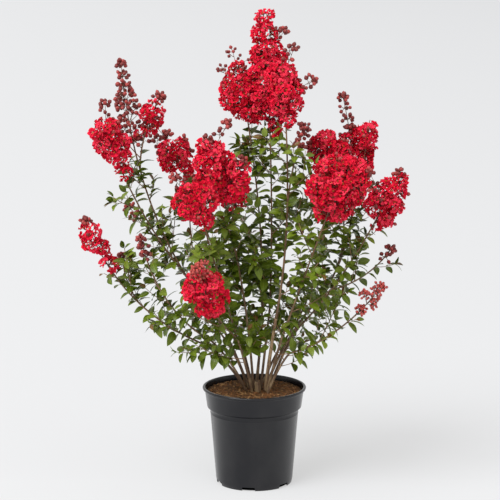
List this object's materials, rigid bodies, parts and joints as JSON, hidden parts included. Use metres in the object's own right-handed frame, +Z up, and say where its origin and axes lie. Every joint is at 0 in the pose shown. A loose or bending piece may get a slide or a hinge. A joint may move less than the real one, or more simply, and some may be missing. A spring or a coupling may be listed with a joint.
{
  "type": "potted crape myrtle shrub",
  "caption": "Multi-stemmed flowering shrub in a round nursery pot: bare canes, glossy paired leaves and upright cone-shaped red flower heads.",
  "frame": {"origin": "middle of the pot's flat underside", "axes": "+Z up, front towards -Y"},
  "size_m": [0.8181, 0.6543, 1.2237],
  "materials": {
    "pot": "satin black moulded plastic",
    "potting_mix": "loose red-brown bark chips",
    "bark": "thin grey-tan to red-brown bark, fluted and slightly flaking",
    "foliage": "glossy dark green leaves on red-brown twigs",
    "flowers": "crinkled crimson petals with maroon buds"
  },
  "bodies": {
    "root": {"cane_back": "bark", "cane_back_left": "bark", "cane_back_right": "bark", "cane_far_left": "bark", "cane_far_right": "bark", "cane_front_left": "bark", "cane_inner_left": "bark", "cane_left_back": "bark", "cane_left_low": "bark", "cane_left_tall": "bark", "cane_middle": "bark", "cane_middle_front": "bark", "cane_middle_left": "bark", "cane_right_back": "bark", "cane_right_front": "bark", "cane_right_low": "bark", "foliage_back": "foliage", "foliage_back_left": "foliage", "foliage_back_right": "foliage", "foliage_far_left": "foliage", "foliage_far_right": "foliage", "foliage_front_left": "foliage", "foliage_inner_left": "foliage", "foliage_left_back": "foliage", "foliage_left_low": "foliage", "foliage_left_tall": "foliage", "foliage_low_front": "foliage", "foliage_low_front_left": "foliage", "foliage_low_front_right": "foliage", "foliage_low_left": "foliage", "foliage_low_right": "foliage", "foliage_middle": "foliage", "foliage_middle_front": "foliage", "foliage_middle_left": "foliage", "foliage_right_back": "foliage", "foliage_right_front": "foliage", "foliage_right_low": "foliage", "old_stump": "bark", "panicle_back": "flowers", "panicle_back_left": "flowers", "panicle_back_right": "flowers", "panicle_far_left": "flowers", "panicle_far_right": "flowers", "panicle_front_left_1": "flowers", "panicle_front_left_2": "flowers", "panicle_inner_left": "flowers", "panicle_left_back": "flowers", "panicle_left_tall_1": "flowers", "panicle_left_tall_2": "flowers", "panicle_left_tall_3": "flowers", "panicle_middle": "flowers", "panicle_middle_front": "flowers", "panicle_middle_left": "flowers", "panicle_right_back_1": "flowers", "panicle_right_back_2": "flowers", "panicle_right_back_3": "flowers", "panicle_right_front": "flowers", "panicle_right_low": "flowers", "pot": "pot", "potting_mix": "potting_mix"}
  },
  "joints": []
}
